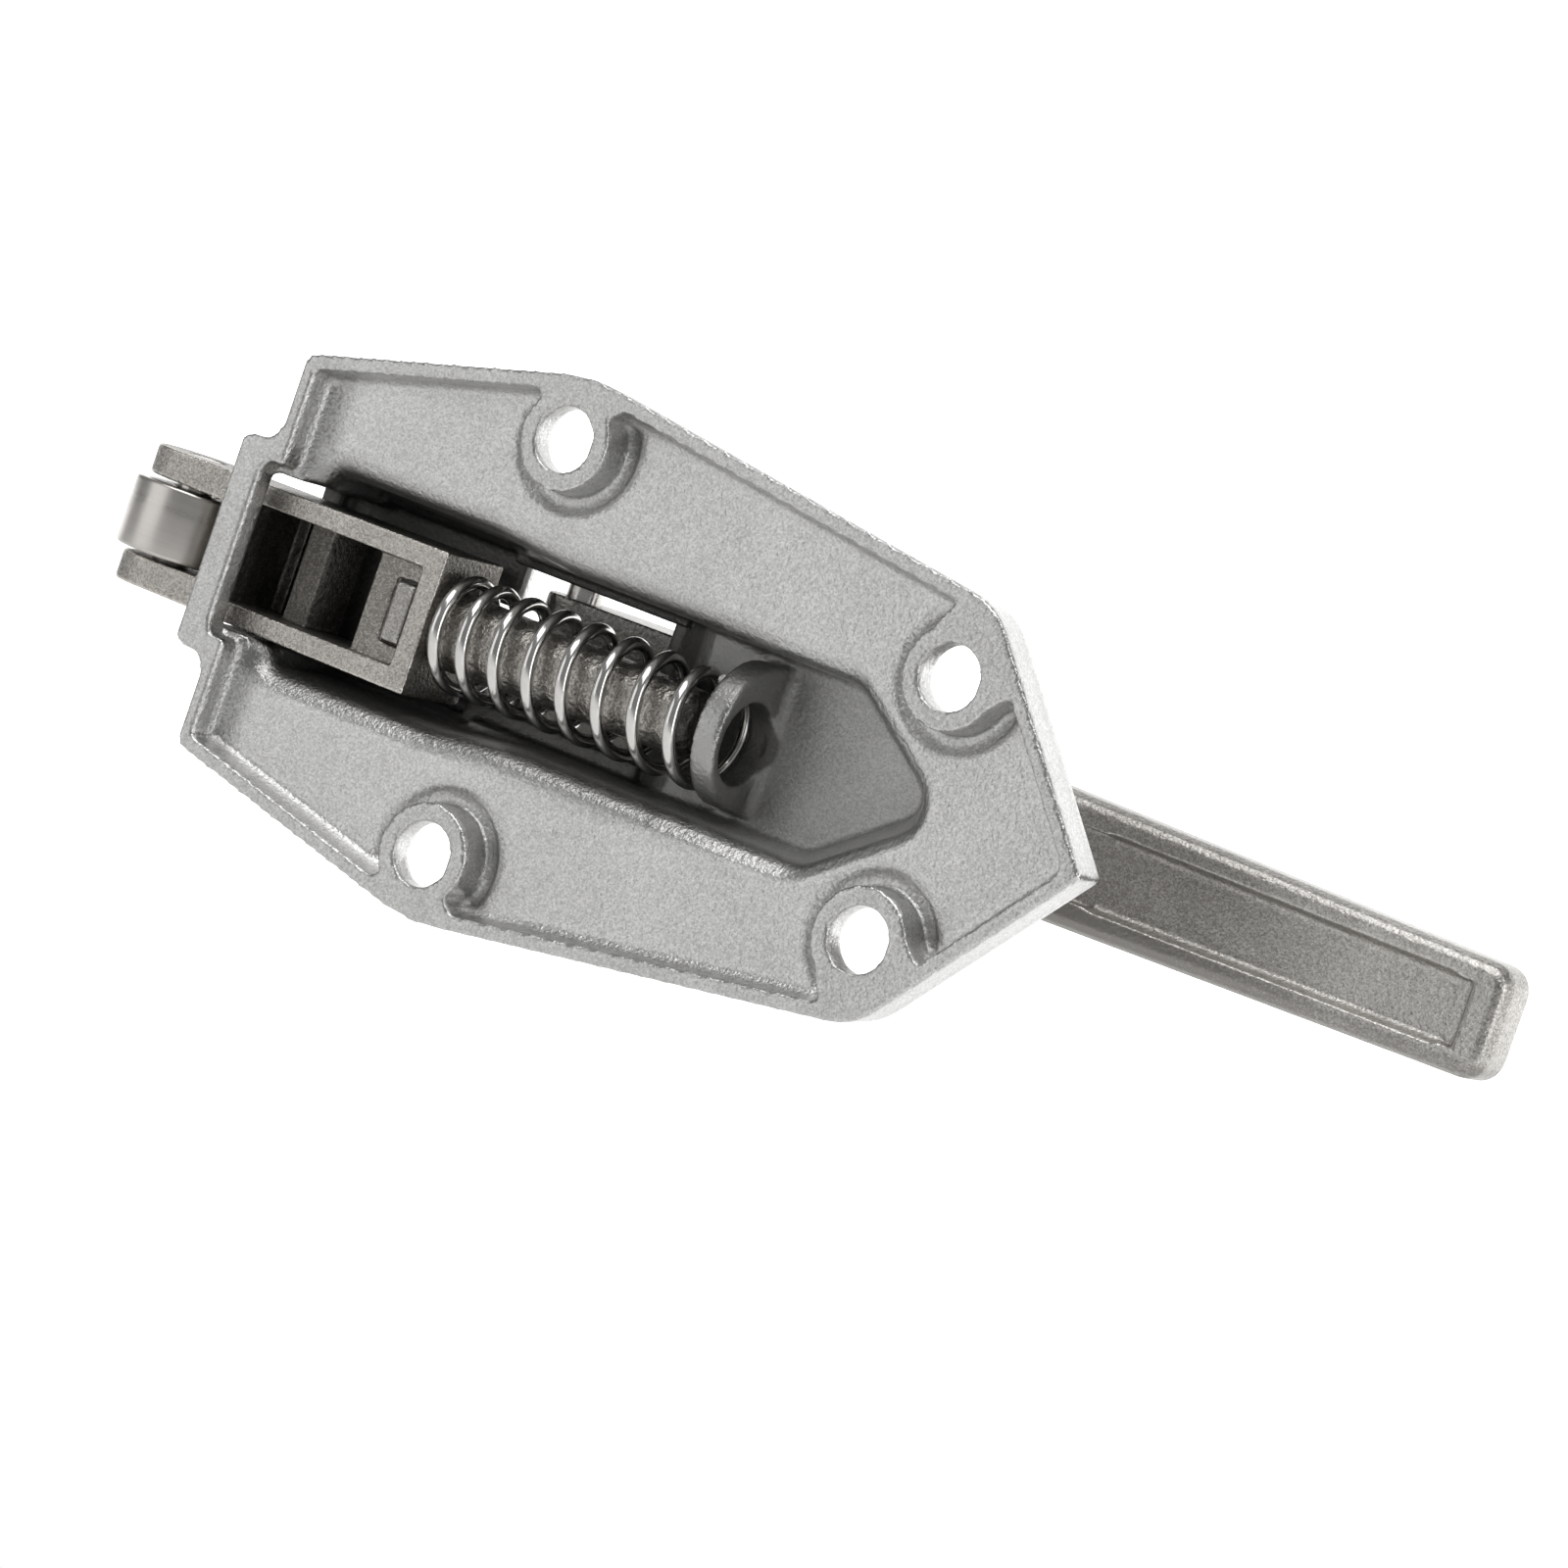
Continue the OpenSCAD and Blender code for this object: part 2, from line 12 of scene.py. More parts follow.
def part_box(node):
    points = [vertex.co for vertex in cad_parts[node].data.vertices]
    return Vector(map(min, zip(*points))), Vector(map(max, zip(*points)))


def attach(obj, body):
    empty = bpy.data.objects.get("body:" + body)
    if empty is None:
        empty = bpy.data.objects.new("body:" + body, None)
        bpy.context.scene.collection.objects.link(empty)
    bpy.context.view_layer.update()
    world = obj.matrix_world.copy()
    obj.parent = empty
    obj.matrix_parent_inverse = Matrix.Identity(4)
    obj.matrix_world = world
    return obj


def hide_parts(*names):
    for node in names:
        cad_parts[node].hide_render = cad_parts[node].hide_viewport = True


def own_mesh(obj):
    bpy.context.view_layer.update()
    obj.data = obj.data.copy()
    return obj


bl_info = {
    "name": "Fridge Latch Dresser",
    "version": (1, 0, 0),
    "blender": (4, 5, 0),
    "location": "3D View > Sidebar > Latch",
    "description": "Dresses the packed latch in cast, turned and drawn metal",
    "category": "Object",
}

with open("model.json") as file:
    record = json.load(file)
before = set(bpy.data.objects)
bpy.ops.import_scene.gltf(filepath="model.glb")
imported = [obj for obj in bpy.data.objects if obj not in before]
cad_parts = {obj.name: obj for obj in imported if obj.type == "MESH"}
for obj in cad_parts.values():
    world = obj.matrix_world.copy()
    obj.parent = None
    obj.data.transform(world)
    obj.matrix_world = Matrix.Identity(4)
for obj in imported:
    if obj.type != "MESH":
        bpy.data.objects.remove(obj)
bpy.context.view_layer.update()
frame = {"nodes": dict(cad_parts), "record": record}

MM = 0.001
# Triangles that a finished casting may keep
FACE_LIMIT = 190000

# The collar in the lug's bore, in mm: its ends along X, its axis and its radii
COLLAR_X = (23.45, 26.45)
COLLAR_Y = 10.2
COLLAR_Z = -0.65
COLLAR_INNER = 4.35
COLLAR_OUTER = 5.7

# The camera as it stood for the photograph: angles in degrees, the point that it looks at,
# its distance from there, its lens and its sensor's width in mm
CAMERA_AZIMUTH = 30.81
CAMERA_ELEVATION = 4.11
CAMERA_ROLL = 19.15
CAMERA_TARGET = (38.27, 0, -2.06)
CAMERA_DISTANCE = 631.1
CAMERA_LENS = 145.8
CAMERA_SENSOR = 36


# Settings

def colour(name, text, default):
    return FloatVectorProperty(name=name, description=text, default=default,
                               size=3, min=0, max=1, subtype="COLOR")


def share(name, text, default):
    return FloatProperty(name=name, description=text, default=default,
                         min=0, max=1, subtype="FACTOR")


def length(name, text, default):
    return FloatProperty(name=name, description=text, default=default,
                         min=0, unit="LENGTH", precision=5)


def amount(name, text, default):
    return FloatProperty(name=name, description=text, default=default, min=0, precision=3)


def power(name, text, default):
    return FloatProperty(name=name, description=text, default=default, min=0, unit="POWER")


def count(name, text, default, low, high):
    return IntProperty(name=name, description=text, default=default, min=low, max=high)


class HousingLook(PropertyGroup):
    """How the cast housing is cleaned up and finished"""
    grain: length("Rounding", "Size of the cells that round the casting's edges", 0.38 * MM)
    rounds: count("Softening", "Rounds of smoothing after the edges are rounded", 4, 0, 60)
    bright: colour("Bright metal", "Metal where the skin is worn or clean", (0.76, 0.757, 0.75))
    dull: colour("Dull metal", "Metal in hollows and under the skin", (0.40, 0.396, 0.39))
    # Painted shade: this colour is laid over the channel's walls and floor, a corner near its end and the
    # lug's bore
    shade: colour("Channel metal", "Metal down in the channel, where the blast doesn't reach",
                  (0.15, 0.147, 0.143))
    roughness: share("Roughness", "How matt the blasted skin is", 0.34)
    peel: amount("Orange peel", "Depth of the skin's soft bumps in mm", 0.11)
    grit: amount("Grit", "Size of the finest specks in mm", 0.26)
    # Worn edges: lighter for wear and with painted highlight; dull hollows: painted shade in the inner
    # corners
    edge: amount("Worn edges", "How much lighter the outer edges are", 0.22)
    hollow_shade: amount("Dull hollows", "How much duller the inner corners are", 0.6)


class HandleLook(PropertyGroup):
    """How the cast handle is cleaned up and finished"""
    grain: length("Rounding", "Size of the cells that round the casting's edges", 0.2 * MM)
    rounds: count("Softening", "Rounds of smoothing after the edges are rounded", 12, 0, 60)
    bright: colour("Bright metal", "Metal along the worn edges", (0.66, 0.645, 0.62))
    dull: colour("Dull metal", "Metal in hollows and under the skin", (0.255, 0.245, 0.23))
    roughness: share("Roughness", "How matt the skin is", 0.36)
    peel: amount("Orange peel", "Depth of the skin's soft bumps in mm", 0.1)
    grit: amount("Grit", "Size of the finest specks in mm", 0.22)
    # Worn edges: lighter for wear and with painted highlight; dull hollows: painted shade in the inner
    # corners
    edge: amount("Worn edges", "How much lighter the outer edges are", 0.3)
    hollow_shade: amount("Dull hollows", "How much duller the inner corners are", 0.7)


class BoltLook(PropertyGroup):
    """How the cast bolt is cleaned up and finished"""
    grain: length("Rounding", "Size of the cells that round the casting's edges", 0.18 * MM)
    rounds: count("Softening", "Rounds of smoothing after the edges are rounded", 7, 0, 60)
    bright: colour("Bright metal", "Metal along the worn edges", (0.66, 0.63, 0.59))
    dull: colour("Dull metal", "Metal in the pockets", (0.20, 0.19, 0.175))
    # Painted shade: this near-black colour is laid over the ribbed pockets and the stem's end in the lug's
    # bore
    scale: colour("Scale", "Colour of the black scale left in the pockets", (0.045, 0.042, 0.04))
    roughness: share("Roughness", "How matt the skin is", 0.36)
    peel: amount("Orange peel", "Depth of the skin's soft bumps in mm", 0.13)
    grit: amount("Grit", "Size of the finest specks in mm", 0.22)
    # Worn edges: lighter for wear and with painted highlight; dull hollows: painted shade in the inner
    # corners
    edge: amount("Worn edges", "How much lighter the outer edges are", 0.6)
    hollow_shade: amount("Dull hollows", "How much duller the inner corners are", 0.7)


class TurnedLook(PropertyGroup):
    """The roller and the two pins, turned from bar"""
    metal: colour("Metal", "Colour of the turned steel", (0.68, 0.655, 0.625))
    roughness: share("Roughness", "How matt the turned face is", 0.30)
    chamfer: length("Chamfer", "Width of the roller's broken edge", 0.45 * MM)
    pin_chamfer: length("Pin chamfer", "Width of the pins' broken edges", 0.5 * MM)
    sides: count("Sides", "Faces round the roller", 128, 24, 256)
    pin_sides: count("Pin sides", "Faces round each pin", 64, 24, 256)


class SpringShape(PropertyGroup):
    """The coil spring, drawn as wire along a helix"""
    turns: FloatProperty(name="Turns", description="Coils from end to end", default=8.3, min=1)
    wire: length("Wire", "Diameter of the spring's wire", 1.45 * MM)
    mean_radius: length("Mean radius", "From the spring's axis to the wire's centre", 5.675 * MM)
    start: FloatProperty(name="Start", description="Where the first coil begins, along X",
                         default=-11.255 * MM, unit="LENGTH", precision=5)
    reach: length("Reach", "From the first coil's wire to the last one's", 33.91 * MM)
    drop: length("Drop", "How far the spring's axis lies under the middle", 0.7 * MM)
    depth: length("Depth", "How far the spring's axis lies behind the rim", 10 * MM)
    points: count("Points", "Points along the wire", 560, 100, 2000)
    sides: count("Wire sides", "Faces round the wire", 24, 8, 64)
    metal: colour("Metal", "Colour of the bright wire", (0.78, 0.77, 0.75))


class StageLook(PropertyGroup):
    """The floor, the light and the camera"""
    pale: colour("Floor", "Colour of the floor and the wall", (0.94, 0.94, 0.935))
    cove: amount("Cove", "Glow of the white cove behind the latch", 1.0)
    world: amount("World", "Strength of the light from all round", 0.24)
    key: power("Top light", "Power of the light from above", 4.2)
    fill: power("Side lights", "Power of the side lights", 2.2)


class LatchSettings(PropertyGroup):
    """All the sizes and finishes of the dressed latch"""
    housing: PointerProperty(type=HousingLook, name="Housing", description="The cast housing")
    handle: PointerProperty(type=HandleLook, name="Handle", description="The cast handle")
    bolt: PointerProperty(type=BoltLook, name="Bolt", description="The cast bolt")
    turned: PointerProperty(type=TurnedLook, name="Turned parts", description="The roller and the pins")
    spring: PointerProperty(type=SpringShape, name="Spring", description="The coil spring")
    stage: PointerProperty(type=StageLook, name="Stage", description="The floor, light and camera")


# Shader maths

class Level:
    """A number that varies over a surface; an expression on it adds its Math nodes"""

    def __init__(self, finish, socket):
        self.finish = finish
        self.socket = socket

    def maths(self, operation, *values):
        out = self.finish.node("ShaderNodeMath", {"operation": operation}, dict(enumerate(values)))
        return Level(self.finish, out.outputs[0])

    def __add__(self, other):
        return self.maths("ADD", self, other)

    def __radd__(self, other):
        return self.maths("ADD", other, self)

    def __sub__(self, other):
        return self.maths("SUBTRACT", self, other)

    def __rsub__(self, other):
        return self.maths("SUBTRACT", other, self)

    def __mul__(self, other):
        return self.maths("MULTIPLY", self, other)

    def __rmul__(self, other):
        return self.maths("MULTIPLY", other, self)

    def at_least(self, floor):
        return self.maths("MAXIMUM", self, floor)

    def at_most(self, roof):
        return self.maths("MINIMUM", self, roof)

    def between(self, low, high):
        """0 below low, 1 above high, soft in between"""
        out = self.finish.node("ShaderNodeMapRange", {"interpolation_type": "SMOOTHSTEP", "clamp": True},
                               {"Value": self, "From Min": low, "From Max": high,
                                "To Min": 0.0, "To Max": 1.0})
        return Level(self.finish, out.outputs["Result"])

    def under(self, low, high):
        """1 below low, 0 above high, soft in between"""
        return 1 - self.between(low, high)

    def within(self, rise, fall):
        """0, then 1 from the soft step rise to the soft step fall, then 0 again"""
        return self.between(*rise) * self.under(*fall)

    def swing(self, size):
        """Noise from 0 to 1, brought to swing this far in all about nothing"""
        return (self - 0.5) * size


class Finish:
    """One material, built from its nodes"""

    def __init__(self, name):
        self.material = bpy.data.materials.new(name)
        self.material.use_nodes = True
        self.tree = self.material.node_tree
        self.tree.nodes.clear()
        self.place = self.node("ShaderNodeTexCoord").outputs["Object"]

    def node(self, kind, settings=None, sockets=None):
        """A node of this kind: its settings first, then its sockets' values or links"""
        made = self.tree.nodes.new(kind)
        for key, value in (settings or {}).items():
            setattr(made, key, value)
        for key, value in (sockets or {}).items():
            if isinstance(value, Level):
                value = value.socket
            if isinstance(value, bpy.types.NodeSocket):
                self.tree.links.new(value, made.inputs[key])
            else:
                made.inputs[key].default_value = value
        return made

    def axis(self, name):
        """The place along one axis, in mm"""
        apart = self.node("ShaderNodeSeparateXYZ", None, {0: self.place})
        return Level(self, apart.outputs[name]) * (1 / MM)

    def stretched(self, scale):
        """The place, scaled by its own factor along each axis"""
        return self.node("ShaderNodeVectorMath", {"operation": "MULTIPLY"},
                         {0: self.place, 1: scale}).outputs[0]

    def noise(self, size, detail=2.0, roughness=0.5, place=None):
        """Soft noise from 0 to 1, with bumps of about this size in mm"""
        out = self.node("ShaderNodeTexNoise", None,
                        {"Vector": place or self.place, "Scale": 1 / (size * MM),
                         "Detail": detail, "Roughness": roughness})
        return Level(self, out.outputs["Fac"])

    def grains(self, size):
        """A random shade for each grain of about this size in mm"""
        cells = self.node("ShaderNodeTexVoronoi", None, {"Vector": self.place, "Scale": 1 / (size * MM)})
        apart = self.node("ShaderNodeSeparateColor", None, {0: cells.outputs["Color"]})
        return Level(self, apart.outputs[0])

    def attribute(self, name):
        """What the mesh stores at each point under this name"""
        return Level(self, self.node("ShaderNodeAttribute", {"attribute_name": name}).outputs["Fac"])

    def mixed(self, factor, a, b):
        """Colour a where the factor is 0, colour b where it is 1"""
        def full(shade):
            return shade if isinstance(shade, bpy.types.NodeSocket) else (*shade, 1.0)

        # A Mix node keeps its colours in sockets 6 and 7 and gives the mixed colour in output 2
        out = self.node("ShaderNodeMix", {"data_type": "RGBA"}, {0: factor, 6: full(a), 7: full(b)})
        return out.outputs[2]

    def bump(self, height):
        """A bump from a height in mm"""
        out = self.node("ShaderNodeBump", None, {"Height": height, "Distance": MM, "Strength": 1.0})
        return out.outputs["Normal"]

    def surface(self, sockets):
        """Ends the material in a Principled surface with these sockets"""
        principled = self.node("ShaderNodeBsdfPrincipled", None, sockets)
        self.node("ShaderNodeOutputMaterial", None, {"Surface": principled.outputs[0]})
        return self.material


def cast_skin(name, look, extra=None, painted_shade_veil=None, coarse=None, edges=None):
    """Blasted casting: soft peel, fine sparkle, worn edges made lighter by wear and painted highlight, and
    hollows made darker by painted shade

    extra changes the tone and the roughness, veil lays a tint of painted shade over the colour, coarse adds
    to the bumps, and edges says where outer edges are worn and lit.
    """
    mottle_size = 7.0
    peel_size = 0.5
    middle_tone = 0.46
    outer_step = (0.12, 0.75)
    inner_step = (0.10, 0.8)
    finish = Finish(name)
    bend = finish.attribute("bend")
    # Outer edges are lightened for wear and with painted highlight; inner corners are darkened with painted
    # shade
    worn_lit_edge = bend.between(*outer_step)
    painted_hollow_shade = (bend * -1.0).between(*inner_step)
    if edges:
        worn_lit_edge = worn_lit_edge * edges(finish)
    mottle = finish.noise(mottle_size, 3.0)
    peel = finish.noise(peel_size, 2.0, 0.55)
    fine = finish.noise(look.grit, 2.0, 0.6)
    sparkle = finish.grains(look.grit * 0.7)
    tone = middle_tone + mottle.swing(0.35) + sparkle.swing(0.6) + fine.swing(0.5)
    tone = tone + worn_lit_edge * look.edge - painted_hollow_shade * look.hollow_shade
    rough = look.roughness + fine.swing(0.16) - worn_lit_edge * 0.14 + painted_hollow_shade * 0.12
    if extra:
        tone, rough = extra(finish, tone, rough)
    metal = finish.mixed(tone.at_least(0.0).at_most(1.0), tuple(look.dull), tuple(look.bright))
    # Painted shade laid over the colour
    if painted_shade_veil:
        shade_cover, tint = painted_shade_veil(finish)
        metal = finish.mixed(shade_cover, metal, tint)
    height = peel * look.peel + fine * (look.peel * 0.3)
    if coarse:
        height = height + coarse(finish) * look.peel
    return finish.surface({"Base Color": metal, "Metallic": 1.0, "Roughness": rough.at_least(0.08),
                      "Normal": finish.bump(height)})


def housing_skin(look):
    """The channel, its floor and the lug's bore are darkened with painted shade; the rim and the shelf are
    blasted light
    """
    # Soft steps in depth along Y, in mm
    rim_step = (0.3, 0.9)
    nook_top = (1.2, 2.4)
    shelf_step = (2.2, 3.1)
    lip_step = (2.6, 3.2)
    channel_step = (2.9, 5.0)
    deep_step = (4.0, 8.0)
    nook_foot = (5.0, 7.0)
    lug_foot = (13.6, 14.2)
    floor_step = (14.8, 15.6)
    # Soft steps along X and Z, in mm, and one in the square of the distance from the bore's axis
    nook_start = (-33.5, -32.0)
    nook_end = (-30.0, -28.0)
    bore_start = (22.4, 22.9)
    lug_start = (22.6, 23.2)
    shelf_end = (24.0, 34.0)
    bore_end = (27.2, 28.0)
    lower_lip = (-13.5, -9.3)
    upper_lip = (9.3, 12.5)
    bore_square = (18.6, 22.0)

    def bore(finish):
        """1 inside the lug's bore"""
        across = finish.axis("Y") - COLLAR_Y
        up = finish.axis("Z") - COLLAR_Z
        inside = (across * across + up * up).under(*bore_square)
        return inside * finish.axis("X").within(bore_start, bore_end)

    def painted_shade_veil(finish):
        # Painted shade over the channel's walls and floor, a corner near its end and the lug's bore, less on
        # the lug's face
        depth = finish.axis("Y")
        nook_shade = finish.axis("X").within(nook_start, nook_end) * depth.within(nook_top, nook_foot)
        lug = finish.axis("X").between(*lug_start) * depth.under(*lug_foot)
        shade_cover = depth.between(*channel_step) * 0.22 + depth.between(*floor_step) * 0.7 + nook_shade * 0.28
        shade_cover = shade_cover * (1 - lug * 0.3) + bore(finish)
        return shade_cover.at_most(1.0) * finish.attribute("inner"), tuple(look.shade)

    def edges(finish):
        # The lip of the channel rolls over softly, with no worn edge or painted highlight
        return 1 - finish.axis("Y").between(*lip_step) * finish.axis("X").under(*lug_start)

    def extra(finish, tone, rough):
        rim = finish.axis("Y").under(*rim_step)
        # Painted shade: the shelves darken where they roll over into the channel
        roll = finish.axis("Z").within(lower_lip, upper_lip)
        roll = roll * finish.axis("Y").between(*shelf_step) * finish.axis("X").under(*shelf_end)
        deep = finish.axis("Y").between(*deep_step) * finish.attribute("inner")
        tone = tone - rim * 0.12 - roll * finish.attribute("inner") * 0.8
        return tone, rough - roll * 0.05 + deep * 0.24

    return cast_skin("cast_housing", look, extra=extra, painted_shade_veil=painted_shade_veil, edges=edges)


def handle_skin(look):
    """Darker toward the housing, with painted shade underneath and at the end of the recess, and a brushed
    end
    """
    # Soft steps along X, then along Z and Y, in mm
    dark_stretch = (58.0, 98.0)
    bead_start = (103.7, 104.2)
    bead_end = (105.0, 105.4)
    end_step = (106.9, 107.5)
    lower_step = (-5.4, -4.6)
    recess_low = (-4.4, -4.0)
    recess_high = (2.6, 3.0)
    recess_back = (26.5, 27.5)
    # The brushed end's marks: their size in mm and how they stretch along X, Y and Z
    brush_size = 0.35
    brush_stretch = (0.25, 1.0, 1.0)

    def extra(finish, tone, rough):
        along = finish.axis("X")
        end = along.between(*end_step)
        brush = finish.noise(brush_size, 2.0, 0.6, finish.stretched(brush_stretch))
        # Darker toward the housing, and painted shade underneath
        tone = tone + (along.between(*dark_stretch) - 1) * 0.3 - finish.axis("Z").under(*lower_step) * 0.4
        # Painted shade: the dark line at the end of the recess
        recess_end_shade = finish.axis("Z").within(recess_low, recess_high) * finish.axis("Y").under(*recess_back)
        recess_end_shade = along.within(bead_start, bead_end) * recess_end_shade
        tone = tone - recess_end_shade * 0.6
        return tone + end * (brush.swing(0.8) - 0.2), rough - end * 0.04

    return cast_skin("cast_handle", look, extra=extra)


def bolt_skin(look):
    """Bright rails over hammered pockets darkened with painted shade, and a coarse stem"""
    # Soft steps in depth along Y, then along X, in mm, and the size of the hammer marks
    pocket_step = (4.85, 6.0)
    rib_step = (8.2, 9.0)
    rib_end = (-22.5, -21.0)
    frame_end = (-12.4, -11.8)
    stem_start = (-11.9, -11.4)
    tip_step = (19.6, 20.2)
    hammer_size = 1.3

    def sunk(finish):
        return finish.axis("Y").between(*pocket_step) * finish.axis("X").under(*frame_end)

    def extra(finish, tone, rough):
        # Painted shade: the pockets are darker; they are also a little rougher
        return tone - sunk(finish) * 0.35, rough + sunk(finish) * 0.06

    def painted_shade_veil(finish):
        # Painted shade: the ribbed pockets and the stem's end in the lug's bore are tinted near black
        rib_shade = finish.axis("Y").between(*rib_step) * finish.axis("X").under(*rib_end)
        return rib_shade * 0.35 + finish.axis("X").between(*tip_step) * 0.8, tuple(look.scale)

    def coarse(finish):
        stem = finish.axis("X").between(*stem_start)
        return finish.noise(hammer_size, 2.0, 0.5) * (sunk(finish) * 1.4 + stem * 2.2)

    return cast_skin("cast_bolt", look, extra=extra, painted_shade_veil=painted_shade_veil, coarse=coarse)


def turned_skin(name, look, roughness, ring_size=0.3):
    """Steel turned about Z: fine rings across the axis and a few deeper bands"""
    band_size = 1.3
    stain_size = 2.2
    middle_tone = 0.60
    dark = 0.62
    ring_stretch = (0.02, 0.02, 1.0)
    band_stretch = (0.03, 0.03, 1.0)
    finish = Finish(name)
    rings = finish.noise(ring_size, 3.0, 0.7, finish.stretched(ring_stretch))
    bands = finish.noise(band_size, 1.0, 0.5, finish.stretched(band_stretch))
    stain = finish.noise(stain_size, 3.0)
    tone = middle_tone + rings.swing(0.4) + bands.swing(0.5) + stain.swing(0.12)
    bare = tuple(look.metal)
    metal = finish.mixed(tone.at_least(0.0).at_most(1.0), tuple(c * dark for c in bare), bare)
    height = rings * 0.006 + bands * 0.008
    return finish.surface({"Base Color": metal, "Metallic": 1.0, "Normal": finish.bump(height),
                      "Roughness": roughness + bands.swing(0.15) + stain.swing(0.05)})


def wire_skin(look):
    """Bright drawn wire with faint marks along it"""
    mark_size = 0.5
    stain_size = 3.0
    roughness = 0.14
    dark = 0.7
    finish = Finish("spring_wire")
    marks = finish.noise(mark_size, 3.0, 0.6)
    stain = finish.noise(stain_size, 2.0)
    bare = tuple(look.metal)
    metal = finish.mixed(marks * 0.6 + stain * 0.4, tuple(c * dark for c in bare), bare)
    return finish.surface({"Base Color": metal, "Metallic": 1.0, "Normal": finish.bump(marks * 0.003),
                      "Roughness": roughness + stain.swing(0.12) + marks.swing(0.08)})


# Shapes

def shown(name, mesh, material):
    """A new object at the origin that carries this mesh and material"""
    piece = bpy.data.objects.new(name, mesh)
    bpy.context.scene.collection.objects.link(piece)
    mesh.materials.clear()
    mesh.materials.append(material)
    return piece


def settled(piece):
    """Makes what the modifiers give the piece's own mesh"""
    bpy.context.view_layer.update()
    graph = bpy.context.evaluated_depsgraph_get()
    mesh = bpy.data.meshes.new_from_object(piece.evaluated_get(graph), depsgraph=graph)
    piece.modifiers.clear()
    piece.data = mesh
    return mesh


def points_of(mesh):
    """The places and the normals of a mesh's points"""
    spots = np.empty(len(mesh.vertices) * 3)
    normals = np.empty(len(mesh.vertices) * 3)
    mesh.vertices.foreach_get("co", spots)
    mesh.vertices.foreach_get("normal", normals)
    return spots.reshape(-1, 3), normals.reshape(-1, 3)


def store(mesh, name, values):
    """Stores one number for each of a mesh's points"""
    layer = mesh.attributes.new(name, "FLOAT", "POINT")
    layer.data.foreach_set("value", values.astype(np.float32))


def mark_bends(mesh, radius=0.55 * MM, rounds=5):
    """Stores how sharply the surface bends: 1 on an outer edge of this radius, -1 in a groove"""
    sharpest = 1.5
    spots, normals = points_of(mesh)
    total = len(spots)
    ends = np.empty(len(mesh.edges) * 2, dtype=np.int64)
    mesh.edges.foreach_get("vertices", ends)
    a, b = ends[0::2], ends[1::2]
    apart = spots[b] - spots[a]
    square = (apart ** 2).sum(axis=1)
    near = np.bincount(a, minlength=total) + np.bincount(b, minlength=total)
    near = np.maximum(near, 1)

    def gather(values_a, values_b):
        return np.bincount(a, values_a, total) + np.bincount(b, values_b, total)

    lift = gather((apart * normals[a]).sum(axis=1), -(apart * normals[b]).sum(axis=1)) / near
    reach = gather(square, square) / near
    bend = -2 * lift / np.maximum(reach, 1e-12) * radius
    bend = np.clip(bend, -sharpest, sharpest)
    for _ in range(rounds):
        bend = 0.5 * bend + 0.5 * gather(bend[b], bend[a]) / near
    store(mesh, "bend", bend)


def mark_inner(mesh):
    """Stores which points of the housing lie inside its channel: 1 inside, 0 on the outer skin"""
    # How far a point's normal leans backwards or sideways on the outer skin
    backward = 0.35
    sideways = 0.3
    # Depths along Y and places along X and Z, in mm
    lip = 4.5
    shelf = 5
    back = 19.0
    left_end = -40
    right_end = 30
    slot = 5
    lug_start, lug_end = 22, 28
    lug_half = 8.3
    lug_foot = 14.7
    spots, normals = points_of(mesh)
    x, y, z = spots.T / MM
    nx, ny, nz = normals.T
    behind = ((ny > backward) & (y > shelf)) | (y > back)
    beside = (nz * np.sign(z) > sideways) & (np.abs(z) > slot) & (y > lip)
    right = (nx > sideways) & (x > right_end) & (y > lip)
    left = (nx < -sideways) & (x < left_end)
    lug = (x > lug_start) & (x < lug_end) & (np.abs(z) < lug_half) & (y < lug_foot)
    outer = (behind | beside | right | left) & ~lug
    store(mesh, "inner", 1.0 - outer)


def add_slab(work, x, y, z):
    """Adds a closed block to a mesh in the making, from its two ends along each axis in mm"""
    for vert in bmesh.ops.create_cube(work, size=1.0)["verts"]:
        spans = zip(vert.co, (x, y, z))
        vert.co = Vector([(high if place > 0 else low) * MM for place, (low, high) in spans])


def add_collar(work, x, y, z, inner, outer, sides=48):
    """Adds a ring about X to a mesh in the making, between two places along X; sizes in mm"""
    angles = [2 * math.pi * i / sides for i in range(sides)]
    rings = []
    for along, radius in ((x[0], inner), (x[1], inner), (x[1], outer), (x[0], outer)):
        rings.append([work.verts.new((along * MM, (y + radius * math.cos(angle)) * MM,
                                      (z + radius * math.sin(angle)) * MM)) for angle in angles])
    made = []
    for low, high in zip(rings, rings[1:] + rings[:1]):
        for i in range(sides):
            j = (i + 1) % sides
            made.append(work.faces.new((low[i], low[j], high[j], high[i])))
    bmesh.ops.recalc_face_normals(work, faces=made)


def carved(piece, cut, material):
    """Takes what cut draws away from a piece"""
    mesh = bpy.data.meshes.new("cutter")
    work = bmesh.new()
    cut(work)
    work.to_mesh(mesh)
    work.free()
    tool = shown("cutter", mesh, material)
    carve = piece.modifiers.new("carve", "BOOLEAN")
    carve.operation = "DIFFERENCE"
    carve.solver = "EXACT"
    carve.use_self = True
    carve.object = tool
    settled(piece)
    bpy.data.objects.remove(tool)


def smoothed(piece, rounds, group=""):
    """Adds rounds of smoothing to a piece, or to one group of its points"""
    soft = piece.modifiers.new("soft", "SMOOTH")
    soft.factor = 0.5
    soft.iterations = rounds
    soft.vertex_group = group


